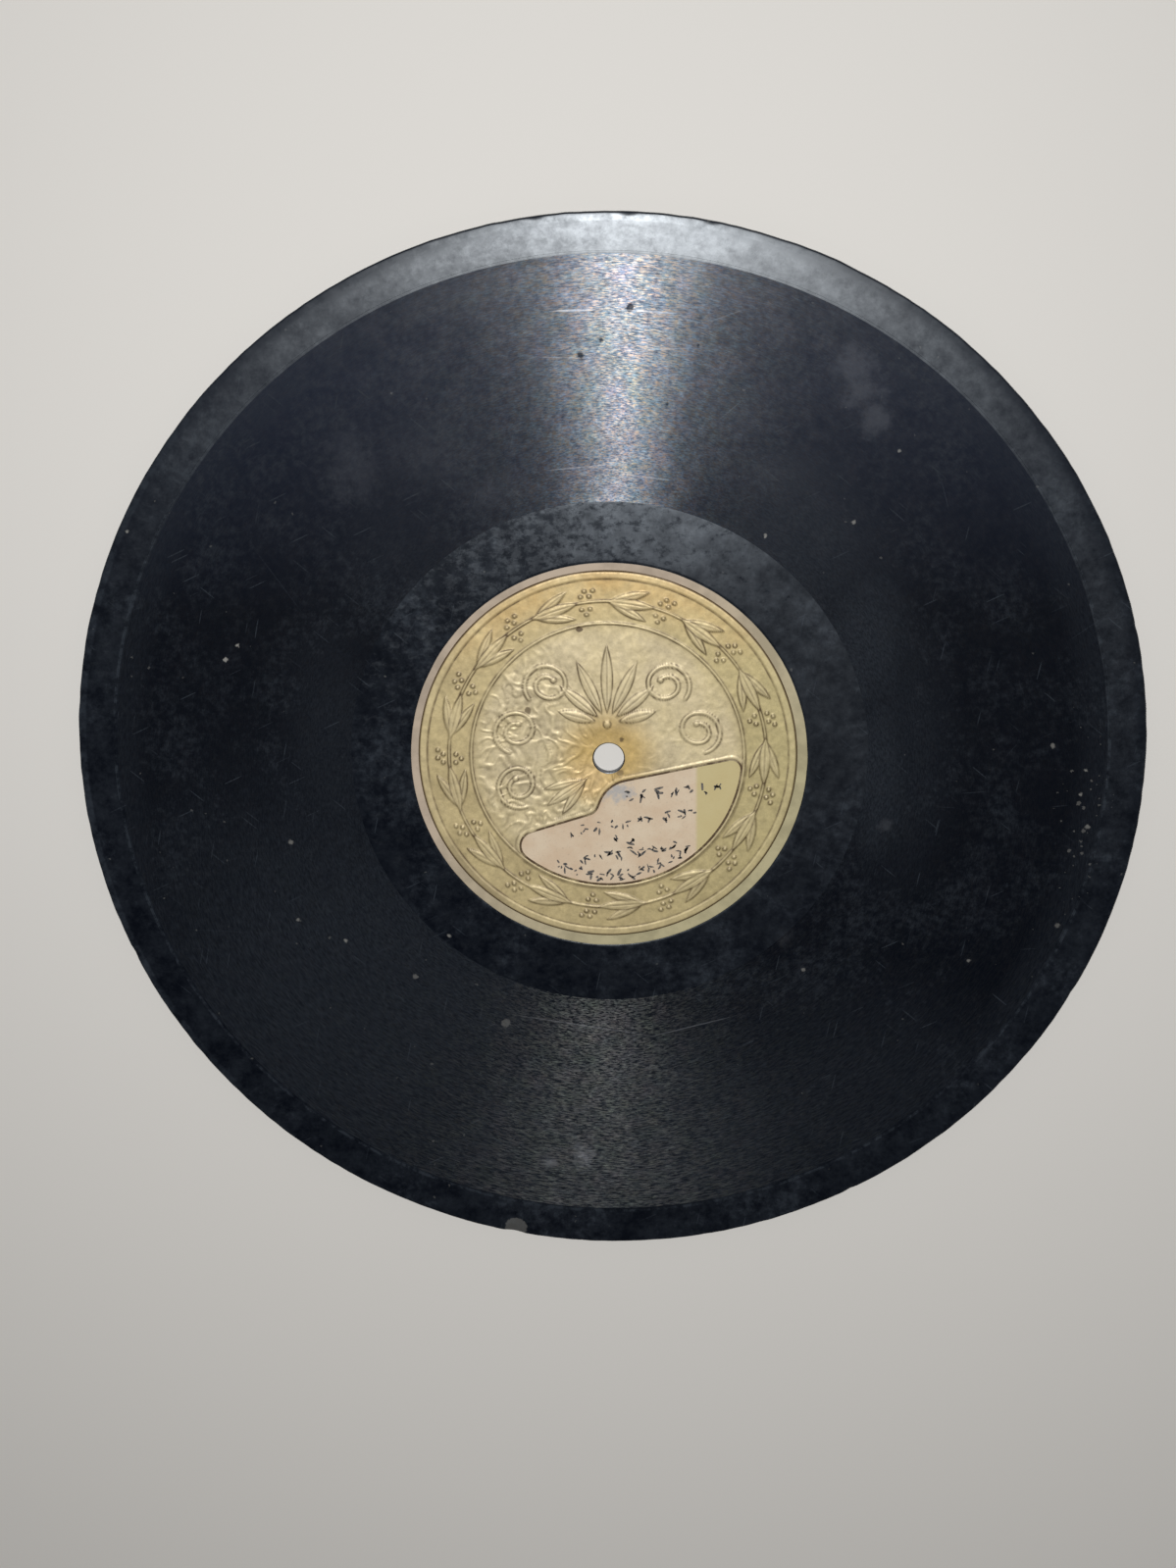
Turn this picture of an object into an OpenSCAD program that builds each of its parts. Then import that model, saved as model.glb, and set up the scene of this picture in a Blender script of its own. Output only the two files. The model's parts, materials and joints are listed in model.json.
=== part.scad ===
// Single-faced shellac record: a pressed disc with one spiral groove, a paper label and an embossed gilt foil

/* [Disc] */
// Outside diameter of the pressed disc
disc_d = 254; // [210:1:310]
// Thickness through the plain margin
disc_t = 2.3; // [1.8:0.05:4]
// Radius that rounds the rim, above and below
rim_round = 0.8; // [0.2:0.05:1]
// Width of the sloping shoulder next to the rim
shoulder_w = 2.2; // [1.2:0.1:4]
// Fall of the shoulder from the margin to the rim
shoulder_drop = 0.3; // [0.1:0.05:0.6]
// Width of the plain margin between the rim and the playing surface
margin_w = 8.7; // [5:0.1:14]
// Depth of the playing surface below the margin
playing_sink = 0.12; // [0.05:0.01:0.4]
// Diameter of the hole for the turntable spindle
spindle_d = 7.26; // [6:0.02:9]

/* [Groove] */
// Distance from one drawn turn to the next, which stands for five real turns
groove_pitch = 1.35; // [0.9:0.01:4]
// Width across the top of the groove
groove_w = 0.2; // [0.1:0.02:0.6]
// Depth of the groove
groove_depth = 0.08; // [0.04:0.01:0.3]
// Width of the plain ring between the label and the innermost turn
run_out_w = 14.8; // [6:0.1:24]

/* [Label] */
// Diameter of the paper label
label_d = 94.4; // [80:0.1:104]
// Thickness of the label paper
paper_t = 0.16; // [0.1:0.01:0.4]
// Gap between the label and the wall of its seat
seat_gap = 0.05; // [0.02:0.01:0.2]
// Gap under each layer of the label, where the real layers are bonded
bond_gap = 0.02; // [0.01:0.01:0.05]
// Width of paper left bare between the spindle hole and the label's own hole
hole_lip = 0.25; // [0.1:0.05:1]

/* [Foil] */
// Width of bare paper outside the foil
paper_margin = 2.1; // [1:0.1:4]
// Thickness of the gilt foil
foil_t = 0.08; // [0.04:0.01:0.3]
// Sideways shift of the pressing die from the centre
die_x = -0.3; // [-0.8:0.1:0.8]
// Upward shift of the pressing die from the centre
die_y = 0.4; // [-0.8:0.1:0.8]
// Width of the raised border at the foil's edge
border_w = 2; // [1:0.1:4]
// Height of the raised border
border_rise = 0.12; // [0.05:0.01:0.4]
// Width of the band that holds the garland
garland_w = 10.6; // [9:0.1:14]
// Width of the round bead that edges the field
bead_d = 0.7; // [0.4:0.05:0.9]
// Height of that bead
bead_rise = 0.16; // [0.05:0.01:0.3]

/* [Garland] */
// Number of sprigs round the label
sprigs = 13; // [9:1:15]
// Clock angle of the first sprig's tip
first_tip = 17.2; // [0:0.1:27]
// Length of the middle leaf
leaf_len = 11.4; // [8:0.1:14]
// Width of the middle leaf
leaf_w = 2.4; // [1.6:0.1:3.2]
// Length of the two side leaves
side_leaf_len = 9.6; // [6:0.1:12]
// Width of the two side leaves
side_leaf_w = 2; // [1.2:0.1:3]
// Angle between the middle leaf and a side leaf
leaf_spread = 21; // [15:1:30]
// Height of a leaf along its middle
leaf_rise = 0.3; // [0.15:0.01:0.6]
// Height of the step round a leaf
leaf_edge = 0.1; // [0.04:0.01:0.14]
// Distance from the node to the roots of the side leaves
side_root = 0.8; // [0.4:0.1:1.6]
// Thickness of the twig that joins the sprigs
twig_d = 0.6; // [0.4:0.05:1]
// Height of the twig above the foil
twig_rise = 0.2; // [0.1:0.01:0.3]
// Length of twig hidden under the leaf at each end
twig_lap = 0.9; // [0.5:0.1:1.5]
// Diameter of a berry
berry_d = 1; // [0.6:0.05:1.4]
// Height of a berry above the foil
berry_rise = 0.3; // [0.1:0.01:0.4]
// Distance between neighbouring berries of one row
berry_step = 1.8; // [1.5:0.1:2.4]
// Distance from the twig to the near row of berries
berry_row = 1.4; // [1.2:0.1:1.8]
// Distance from the near row to the far row
far_row = 1.3; // [1:0.1:1.6]
// Number of berries on the outer side of each twig
outer_berries = 4; // [2:1:5]
// Number of berries on the inner side of each twig
inner_berries = 3; // [1:1:4]

/* [Field ornament] */
// Number of leaves in the fan above the spindle hole
fan_leaves = 7; // [3:2:7]
// Distance from the centre to the fan's boss
fan_root = 8; // [7:0.5:11]
// Diameter of the ball that the fan's boss is the top of
fan_boss_d = 3; // [2:0.1:4]
// Distance from the boss to the roots of the leaves
fan_gap = 3; // [2.5:0.1:4]
// Angle between neighbouring leaves of the fan
fan_step = 25; // [20:1:28]
// Length of the fan's middle leaf
fan_len = 16; // [12:0.5:18]
// Length that each next leaf loses
fan_fall = 2.4; // [1:0.1:3]
// Width of the fan's leaves
fan_leaf_w = 2.6; // [1.6:0.1:3.2]
// Number of volutes to the left of the fan
left_volutes = 3; // [1:1:3]
// Number of volutes to the right of the fan
right_volutes = 2; // [1:1:2]
// Distance from the centre to the middle of a volute
volute_reach = 22.5; // [20:0.5:24]
// Clock angle of the volutes next to the fan
first_volute = 40; // [36:1:46]
// Clock angle from one volute to the next
volute_turn = 35; // [33:1:40]
// Radius of a volute's outer half turn
volute_r = 5; // [4:0.1:5.4]
// Fall of that radius at each half turn
volute_step = 1.3; // [1.1:0.1:1.6]
// Number of half turns in a volute
half_turns = 3; // [1:1:3]
// Width of a volute's ridge, taken as a round bar
volute_d = 0.9; // [0.5:0.05:1]
// Height of the ridge above the foil
volute_rise = 0.22; // [0.1:0.01:0.3]
// Diameter of the ball that a volute's eye is the top of
eye_d = 1.6; // [1.2:0.1:2]
// Sideways place of the spray below the hole
spray_x = -5; // [-7:0.5:-4]
// Upward place of that spray
spray_y = -5.5; // [-7:0.5:-4.5]
// Direction of the spray's middle leaf
spray_at = 215; // [205:1:225]

/* [Title window] */
// Space between the field's bead and the window
window_gap = 0.7; // [0.5:0.05:2]
// Width of the raised lip round the window
lip_w = 0.35; // [0.2:0.05:0.4]
// Height of the raised lip
lip_rise = 0.16; // [0.05:0.01:0.4]
// Radius of the window's right-hand corner
corner_r = 2.2; // [1:0.1:4]
// Direction of that corner from the centre
corner_at = -6; // [-20:1:0]
// Radius of the shoulder below the spindle hole
bend_r = 8; // [5:0.1:12]
// Sideways place of that shoulder
bend_x = 5.8; // [3:0.1:9]
// Upward place of that shoulder
bend_y = -14; // [-20:0.1:-10]
// Radius of the lobe of foil that hangs into the window
lobe_r = 3.6; // [2:0.1:5]
// Direction of the lobe from the shoulder
lobe_at = 166; // [150:1:180]
// Radius of the window's left-hand tip
tip_r = 3.5; // [2:0.1:6]
// Direction of that tip from the centre
tip_at = 232; // [222:1:240]

/* [Hidden] */
$fn = 120;

// Radii and heights of the disc
disc_r = disc_d / 2;
margin_r = disc_r - margin_w;
shoulder_r = disc_r - shoulder_w;
edge_z = disc_t - shoulder_drop;
edge_round = min(rim_round, edge_z / 2, shoulder_w);
edge_r = disc_r - edge_round;
play_z = disc_t - playing_sink;
seat_z = play_z - paper_t - bond_gap;
paper_z = seat_z + bond_gap;
through = 1;

// The groove winds inwards, anticlockwise from above, in half turns about two centres half a pitch apart
label_r = label_d / 2;
half_step = groove_pitch / 2;
inner_turn_r = label_r + run_out_w;
first_land = 0.3;
turns = 1 + floor((margin_r - inner_turn_r - groove_w / 2 - first_land) / groove_pitch);
hub_r = spindle_d / 8;
margin_lap = 1;

// Radii of the foil, its field and the garland's stem
label_hole_d = spindle_d + 2 * hole_lip;
foil_r = label_r - paper_margin;
band_r = foil_r - border_w;
field_r = band_r - garland_w;
stem_r = (band_r + field_r) / 2;
foil_foot_z = play_z + bond_gap;
foil_z = foil_foot_z + foil_t;
root_sink = foil_t / 2;

// A sprig's leaf and the twig after it are chords of the stem's circle
sprig_turn = 360 / sprigs;
leaf_turn = 2 * asin(leaf_len / (2 * stem_r));
twig_turn = sprig_turn - leaf_turn;
twig_len = 2 * stem_r * sin(twig_turn / 2);

// A volute's last half turn ends on one side of its middle or the other
last_volute_r = volute_r - (half_turns - 1) * volute_step;
eye_x = half_turns % 2 == 1 ? -last_volute_r : last_volute_r - volute_step;

// The window is a chain of tangent arcs: centre, radius, which is negative where the arc bends inwards,
// and whether a straight edge follows
window_r = field_r - window_gap;
arc_gap = 0.1;
lobe_reach = bend_r + lobe_r + arc_gap;
window_arcs = [
  [0, 0, window_r, false],
  [(window_r - corner_r) * cos(corner_at), (window_r - corner_r) * sin(corner_at), corner_r, true],
  [bend_x, bend_y, bend_r, true],
  [bend_x + lobe_reach * cos(lobe_at), bend_y + lobe_reach * sin(lobe_at), -lobe_r, true],
  [(window_r - tip_r) * cos(tip_at), (window_r - tip_r) * sin(tip_at), tip_r, false]
];
arc_steps = 14;

// Direction of the common tangent from one arc to the next
function tangent(a, b) =
  let (d = [b[0] - a[0], b[1] - a[1]], lean = (a[2] - b[2]) / norm(d))
  atan2(d[1], d[0]) + asin(min(1, max(-1, lean)));

// Turn from one direction to another, the way that the arc bends
function swing(from, to, bend) = bend > 0 ? (to - from + 720) % 360 : -((from - to + 720) % 360);

// Points of the window's outline, moved outwards by grow
function window_points(grow) =
  let (n = len(window_arcs))
  [for (i = [0 : n - 1])
    let (
      a = window_arcs[i],
      start = tangent(window_arcs[(i + n - 1) % n], a),
      sweep = swing(start, tangent(a, window_arcs[(i + 1) % n]), a[2]),
      last = a[3] ? arc_steps : arc_steps - 1
    )
    for (k = [0 : last])
      let (way = start + sweep * k / arc_steps)
      [a[0] + (a[2] + grow) * sin(way), a[1] - (a[2] + grow) * cos(way)]];

// Section of the playing surface from the hub to the margin, with one notch for each turn
module grooved_section(shift) {
  outer_r = margin_r + margin_lap + shift;
  polygon(concat(
    [[hub_r, 0], [hub_r, play_z]],
    [for (k = [0 : turns - 1], notch = [[-groove_w / 2, 0], [0, -groove_depth], [groove_w / 2, 0]])
      [inner_turn_r + k * groove_pitch - shift + notch[0], play_z + notch[1]]],
    [[outer_r, play_z], [outer_r, 0]]
  ));
}

// Section of the margin, with its sloping shoulder and rounded rim
module rim_section() {
  polygon([[margin_r, 0], [edge_r, 0], [edge_r, edge_z], [shoulder_r, disc_t], [margin_r, disc_t]]);
  for (z = [edge_round, edge_z - edge_round])
    translate([edge_r, z]) circle(r = edge_round);
  translate([edge_r, edge_round]) square([edge_round, edge_z - 2 * edge_round]);
}

module record_disc() {
  color("#1b2026")
    difference() {
      union() {
        rotate_extrude(angle = 180) grooved_section(0);
        translate([-half_step, 0, 0])
          rotate([0, 0, 180])
            rotate_extrude(angle = 180) grooved_section(half_step);
        rotate_extrude() rim_section();
      }
      translate([0, 0, seat_z]) cylinder(r = label_r + seat_gap, h = disc_t);
      translate([0, 0, -through]) cylinder(d = spindle_d, h = disc_t + 2 * through);
    }
}

module label_paper() {
  color("#c9b697")
    difference() {
      translate([0, 0, paper_z]) cylinder(r = label_r, h = paper_t);
      translate([0, 0, -through]) cylinder(d = label_hole_d, h = disc_t + 2 * through);
    }
}

// Pointed leaf lying along +X from its root, with a rounded back
module leaf(length, width) {
  side_r = (length * length + width * width) / (4 * width);
  back_fall = leaf_rise - leaf_edge;
  back_r = (width * width / 4 + back_fall * back_fall) / (2 * back_fall);
  intersection() {
    translate([length / 2, 0, -root_sink])
      linear_extrude(leaf_rise + root_sink)
        intersection() {
          translate([0, side_r - width / 2]) circle(r = side_r);
          translate([0, width / 2 - side_r]) circle(r = side_r);
        }
    translate([-through, 0, leaf_rise - back_r])
      rotate([0, 90, 0]) cylinder(r = back_r, h = length + 2 * through);
  }
}

// Top of a circle that rises above the foil, with its root in the foil
module cap_section(d, rise) {
  intersection() {
    translate([0, rise - d / 2]) circle(d = d);
    translate([-d, -root_sink]) square([2 * d, d]);
  }
}

// Round boss: the top of a ball
module boss(d) {
  rotate_extrude()
    intersection() {
      cap_section(d, berry_rise);
      translate([0, -d]) square(2 * d);
    }
}

// Two staggered rows of berries, outwards of the twig or inwards of it
module berries(side, count) {
  for (i = [0 : count - 1])
    translate([berry_step * (i + 1) / 2, side * (berry_row + far_row * (i % 2)), 0]) boss(berry_d);
}

// One sprig from its node on the stem: three leaves, the twig to the next node and the berries beside it
module sprig() {
  rotate(-leaf_turn / 2) {
    three_leaves();
    translate([leaf_len, 0, 0])
      rotate(-sprig_turn / 2) {
        translate([-twig_lap, 0, 0])
          rotate([90, 0, 90])
            linear_extrude(twig_len + 2 * twig_lap) cap_section(twig_d, twig_rise);
        berries(1, outer_berries);
        berries(-1, inner_berries);
      }
  }
}

module garland() {
  for (i = [0 : sprigs - 1])
    rotate(-first_tip + leaf_turn - i * sprig_turn)
      translate([0, stem_r, 0]) sprig();
}

// Fan of leaves, longest in the middle
module fan() {
  middle = (fan_leaves - 1) / 2;
  translate([0, fan_root, 0]) {
    boss(fan_boss_d);
    for (i = [0 : fan_leaves - 1])
      rotate(90 + (i - middle) * fan_step)
        translate([fan_gap, 0, 0]) leaf(fan_len - abs(i - middle) * fan_fall, fan_leaf_w);
  }
}

// Spiral ridge that winds inwards to its eye, in half turns about two centres
module volute() {
  for (k = [0 : half_turns - 1])
    translate([k % 2 == 0 ? 0 : -volute_step, 0, 0])
      rotate([0, 0, 180 * k])
        rotate_extrude(angle = 180)
          translate([volute_r - k * volute_step, 0]) cap_section(volute_d, volute_rise);
  translate([eye_x, 0, 0]) boss(eye_d);
}

// Volutes from the fan down one side of the field
module volute_row(count) {
  for (i = [0 : count - 1])
    rotate(-first_volute - i * volute_turn)
      translate([0, volute_reach, 0]) volute();
}

// Middle leaf and two side leaves, as in the garland's sprigs
module three_leaves() {
  leaf(leaf_len, leaf_w);
  for (side = [-1, 1])
    translate([side_root, 0, 0])
      rotate(side * leaf_spread) leaf(side_leaf_len, side_leaf_w);
}

module gold_foil() {
  color("#b89f58")
    translate([die_x, die_y, 0])
      difference() {
        union() {
          translate([0, 0, foil_foot_z]) cylinder(r = foil_r, h = foil_t);
          translate([0, 0, foil_z - root_sink])
            rotate_extrude() translate([band_r, 0]) square([border_w, border_rise + root_sink]);
          translate([0, 0, foil_z])
            rotate_extrude() translate([field_r, 0]) cap_section(bead_d, bead_rise);
          translate([0, 0, foil_z - root_sink])
            linear_extrude(lip_rise + root_sink) polygon(window_points(lip_w));
          translate([0, 0, foil_z]) {
            garland();
            fan();
            volute_row(right_volutes);
            mirror([1, 0, 0]) volute_row(left_volutes);
            translate([spray_x, spray_y, 0]) rotate(spray_at) three_leaves();
          }
        }
        translate([0, 0, play_z])
          linear_extrude(foil_t + lip_rise + through) polygon(window_points(0));
        translate([-die_x, -die_y, -through]) cylinder(d = label_hole_d, h = disc_t + 2 * through);
      }
}

record_disc();
label_paper();
gold_foil();
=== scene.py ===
import json
import math
import random
from functools import partial

import bmesh
import bpy
import numpy as np
from mathutils import Matrix, Vector, noise


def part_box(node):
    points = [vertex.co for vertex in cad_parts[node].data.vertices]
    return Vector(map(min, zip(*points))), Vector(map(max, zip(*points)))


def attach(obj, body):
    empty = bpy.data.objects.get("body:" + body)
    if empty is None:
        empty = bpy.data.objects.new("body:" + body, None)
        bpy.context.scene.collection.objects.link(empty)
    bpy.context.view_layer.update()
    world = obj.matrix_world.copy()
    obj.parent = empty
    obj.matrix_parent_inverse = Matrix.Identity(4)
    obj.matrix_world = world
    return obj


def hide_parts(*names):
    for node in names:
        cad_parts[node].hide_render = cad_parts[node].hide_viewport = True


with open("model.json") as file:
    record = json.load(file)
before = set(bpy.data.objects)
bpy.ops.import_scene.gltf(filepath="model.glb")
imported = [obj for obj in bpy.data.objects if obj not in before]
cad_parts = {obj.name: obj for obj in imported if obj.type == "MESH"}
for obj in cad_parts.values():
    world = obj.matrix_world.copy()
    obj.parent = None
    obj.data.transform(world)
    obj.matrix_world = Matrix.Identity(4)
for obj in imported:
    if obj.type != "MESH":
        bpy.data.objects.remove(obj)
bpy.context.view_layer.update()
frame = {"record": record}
scene = bpy.context.scene
scene.view_settings.view_transform = "Standard"
mm = 0.001

# The camera leans over the far edge of the record and looks back down on it.
# Its place and lens follow from how the circles of the rim, the groove and the label lie in the photograph.
camera_at = Vector((15.9, 154.5, 553.6)) * mm
camera_aim = Vector((-5.0, -6.4, 2.2)) * mm
camera_roll = math.radians(-0.6)
focal_px = 2453
frame_height_px = 1599
sensor_mm = 36

back = (camera_at - camera_aim).normalized()
right = Vector((0, 1, 0)).cross(back).normalized()
facing = Matrix((right, back.cross(right), back)).transposed() @ Matrix.Rotation(camera_roll, 3, "Z")
camera = bpy.data.objects.new("camera", bpy.data.cameras.new("camera"))
camera.matrix_world = Matrix.Translation(camera_at) @ facing.to_4x4()
camera.data.sensor_width = sensor_mm
camera.data.lens = focal_px / frame_height_px * sensor_mm
scene.collection.objects.link(camera)
scene.camera = camera

# One lamp beside the lens, which draws the streak across the grooves, and soft light from the walls.
# The room is dim overhead, so the black gloss has little to mirror.
key_at = Vector((-4.0, 158.0, 580.0)) * mm
key_d = 24 * mm
key_watts = 3.1
room_colour = "#f2f1ee"
# Strength of the light, and the heights between which it changes, where 1 is straight up
wall_light, wall_top = 0.25, 0.15
ceiling_light, ceiling_start = 0.025, 0.75
horizon_light, horizon_full, horizon_end = 0.5, 0.02, 0.1

key = bpy.data.objects.new("key_lamp", bpy.data.lights.new("key_lamp", "AREA"))
key.data.shape = "DISK"
key.data.size = key_d
key.data.energy = key_watts
key.location = key_at
key.rotation_euler = key_at.to_track_quat("Z", "Y").to_euler()
key.visible_camera = False
scene.collection.objects.link(key)


def plug(node, inputs):
    """Sets a node's inputs, by name or in their order, to plain values, other nodes or sockets of those."""
    in_use = [socket for socket in node.inputs if socket.enabled]
    pairs = inputs.items() if isinstance(inputs, dict) else zip(in_use, inputs)
    for socket, value in pairs:
        if isinstance(socket, str):
            socket = node.inputs[socket]
        if isinstance(value, bpy.types.Node):
            value = next(output for output in value.outputs if output.enabled)
        if isinstance(value, bpy.types.NodeSocket):
            node.id_data.links.new(value, socket)
        else:
            socket.default_value = value


def add_node(tree, kind, inputs=(), **settings):
    """Adds a shader node with its own settings and inputs."""
    made = tree.nodes.new("ShaderNode" + kind)
    for name, value in settings.items():
        setattr(made, name, value)
    plug(made, inputs)
    return made


def linear(code):
    """A colour written as an sRGB hex code, made linear."""
    parts = [int(code[i:i + 2], 16) / 255 for i in (1, 3, 5)]
    return [c / 12.92 if c <= 0.04045 else ((c + 0.055) / 1.055) ** 2.4 for c in parts] + [1]


room = bpy.data.worlds.new("room")
scene.world = room
room.use_nodes = True
room.node_tree.nodes.clear()
add = partial(add_node, room.node_tree)
way = add("TexCoord")
height = add("SeparateXYZ", [way.outputs["Generated"]]).outputs["Z"]
upper = add("MapRange", (height, wall_top, ceiling_start, wall_light, ceiling_light),
            interpolation_type="SMOOTHSTEP")
lower = add("MapRange", (height, horizon_full, horizon_end, horizon_light, 0))
level = add("Math", (upper, lower), operation="ADD")
light = add("Background", {"Color": linear(room_colour), "Strength": level})
add("OutputWorld", {"Surface": light})

# The floor is a round sheet of pale matt paper that the record lies on.
floor_r = 0.7
floor_sides = 96
floor_colour = "#dedbd6"
floor_roughness = 0.9


def to_object(bm, name):
    """Makes an object of a bmesh and puts it in the scene."""
    mesh = bpy.data.meshes.new(name)
    bm.to_mesh(mesh)
    bm.free()
    made = bpy.data.objects.new(name, mesh)
    scene.collection.objects.link(made)
    return made


def new_material(name):
    """A material, its shader, and add_node for its own nodes."""
    material = bpy.data.materials.new(name)
    material.use_nodes = True
    tree = material.node_tree
    return material, tree.nodes["Principled BSDF"], partial(add_node, tree)


bm = bmesh.new()
bmesh.ops.create_circle(bm, cap_ends=True, segments=floor_sides, radius=floor_r)
floor = to_object(bm, "floor")
backdrop, shader, _ = new_material("backdrop paper")
plug(shader, {"Base Color": linear(floor_colour), "Roughness": floor_roughness})
floor.data.materials.append(backdrop)

# The disc is one pressing of shellac stock: shellac, stone dust and lamp black, pressed hot between a
# stamper and a plain plate. It has a rounded rim, a plain margin, one spiral groove and a plain back.
disc_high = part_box("record_disc")[1]
disc_r = disc_high.x / mm
disc_t = disc_high.z / mm
hole_r = next(m["dims"]["r_mm"] for m in frame["record"]["mounts"] if m["name"] == "spindle_hole")
hole_edge = 0.2
rim_round = 0.4
shoulder_w = 2.2
shoulder_drop = 0.06
margin_w = 8.7
margin_drop = 0.12
margin_r = disc_r - margin_w
play_z = disc_t - margin_drop
edge_r = disc_r - rim_round
edge_z = disc_t - shoulder_drop
paper_low, paper_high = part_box("label_paper")
label_r = paper_high.x / mm
seat_r = label_r + 0.1
seat_z = paper_low.z / mm - 0.02
groove_pitch = 0.27
groove_depth = 0.05
groove_start = 0.5
turns = 208
lead_points = 12
outer_turn_r = margin_r - groove_start
inner_turn_r = outer_turn_r - turns * groove_pitch
turn_steps = 180
rim_cuts = 3
weld = 0.001

quarter = [math.radians(a) for a in range(-90, 1, 15)]
lower_round = [(edge_r + rim_round * math.cos(a), rim_round + rim_round * math.sin(a)) for a in quarter]
upper_round = [(r, edge_z - z) for r, z in reversed(lower_round)]
shoulder = [(edge_r - (shoulder_w - rim_round) * s, edge_z + shoulder_drop * math.sin(s * math.pi / 2))
            for s in (0.2, 0.4, 0.6, 0.8, 1.0)]
margin = [(margin_r + w, disc_t) for w in (5, 3.6, 2.2, 1.0, 0.05)] + [(margin_r, play_z)]
groove = []
for k in range(2 * turns + 1):
    lead = min(1, k / lead_points, (2 * turns - k) / lead_points)
    groove.append((outer_turn_r - k * groove_pitch / 2, play_z - groove_depth * (k % 2) * lead))
run_out = [(seat_r + w, play_z) for w in (12.8, 10, 7, 4, 2, 0.6)]
seat_edge = [(seat_r + out, play_z - drop) for out, drop in ((0.15, 0.01), (0, 0.06))]
seat = [(seat_r, seat_z), (hole_r + hole_edge, seat_z), (hole_r, seat_z - hole_edge / 2)]
hole = [(hole_r, hole_edge), (hole_r + hole_edge, 0)]


def lathe(profile, steps, **closing):
    """Spins a closed outline of radius and height round the spindle. Gives the bmesh and the last outline."""
    bm = bmesh.new()
    ring = [bm.verts.new((r, 0, z)) for r, z in profile]
    outline = [bm.edges.new(pair) for pair in zip(ring, ring[1:] + ring[:1])]
    spun = bmesh.ops.spin(bm, geom=ring + outline, axis=(0, 0, 1), cent=(0, 0, 0), angle=math.tau,
                          steps=steps, **closing)
    return bm, spun["geom_last"]


bm, last = lathe(hole + lower_round + upper_round + shoulder + margin + groove + run_out + seat_edge + seat,
                 turn_steps)

# Each turn of the groove slips inwards by one pitch, so its end meets the start of the next turn.
last = {v for v in last if isinstance(v, bmesh.types.BMVert)}
for v in bm.verts:
    r = math.hypot(v.co.x, v.co.y)
    if v.co.z > disc_t / 2 and inner_turn_r - 0.01 < r < outer_turn_r + 0.01:
        turn = 1 if v in last else (math.atan2(v.co.y, v.co.x) % math.tau) / math.tau
        v.co.xy *= 1 - turn * groove_pitch / r
bmesh.ops.remove_doubles(bm, verts=bm.verts, dist=weld)
bmesh.ops.holes_fill(bm, edges=[e for e in bm.edges if e.is_boundary], sides=8)

# The rim gets closer points than the rest, moved out to the true circle, for its chips and its wavy edge.
rim_from = margin_r - 0.02
along_rim = [e for e in bm.edges
             if min(v.co.xy.length for v in e.verts) > rim_from
             and abs(e.verts[0].co.xy.length - e.verts[1].co.xy.length) < weld
             and abs(e.verts[0].co.z - e.verts[1].co.z) < weld]
bmesh.ops.subdivide_edges(bm, edges=along_rim, cuts=rim_cuts, use_grid_fill=True)
step = math.tau / turn_steps
# Wear of the rim inwards and of its edge downwards, and how close the waves and the finer notches lie
rim_worn, rim_wave, rim_notch = 0.08, 0.1, 0.1
edge_worn, edge_notch = 0.05, 0.02
wave_scale, notch_scale = 9, 45
# Clock angle, half width along the rim, reach inwards and depth of each chip, in degrees and millimetres
chips = [(191.3, 2.9, 2.7, 0.45), (152.0, 1.4, 1.1, 0.3), (247.0, 1.6, 1.0, 0.25), (2.5, 1.5, 0.9, 0.12),
         (11.0, 1.2, 0.8, 0.15), (353.0, 1.3, 0.8, 0.12), (75.5, 1.4, 0.9, 0.3), (118.0, 1.5, 1.0, 0.3)]
chip_bite = 0.3
for v in bm.verts:
    r = v.co.xy.length
    if r > rim_from:
        angle = math.atan2(v.co.y, v.co.x)
        r *= math.cos(angle % step - step / 2) / math.cos(step / 2)
        inward = disc_r - r
        wave = noise.noise(Vector((math.cos(angle), math.sin(angle), 0)) * wave_scale)
        notch = noise.noise(Vector((math.cos(angle), math.sin(angle), 0.3)) * notch_scale)
        near_rim = max(0, 1 - inward / shoulder_w)
        r -= near_rim * (rim_worn + rim_wave * wave + rim_notch * notch)
        if v.co.z > disc_t / 2:
            v.co.z -= near_rim * (edge_worn + edge_notch * notch)
            for clock, half_w, reach, depth in chips:
                aside = (angle - math.radians(90 - clock) + math.pi) % math.tau - math.pi
                near = (aside * r / half_w) ** 2 + (inward / reach) ** 2
                if near < 1:
                    v.co.z -= depth * (1 - near)
                    r -= chip_bite * depth * (1 - near)
        v.co.xy = (r * math.cos(angle), r * math.sin(angle))

# The grooved faces take the second material. Slivers and sharp bends are shaded flat.
sliver = 0.01
sharp = math.radians(40)
bmesh.ops.recalc_face_normals(bm, faces=bm.faces)
for f in bm.faces:
    f.smooth = f.calc_area() > sliver
    r = f.calc_center_median().xy.length
    f.material_index = int(inner_turn_r - groove_pitch < r < outer_turn_r + 0.1 and f.normal.z > 0.5)
for e in bm.edges:
    if not all(f.smooth for f in e.link_faces):
        e.smooth = False
    elif len(e.link_faces) == 2 and not any(f.material_index for f in e.link_faces):
        e.smooth = e.calc_face_angle() < sharp
bmesh.ops.scale(bm, verts=bm.verts, vec=(mm, mm, mm))
record_disc = to_object(bm, "record_disc_pressing")

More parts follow.
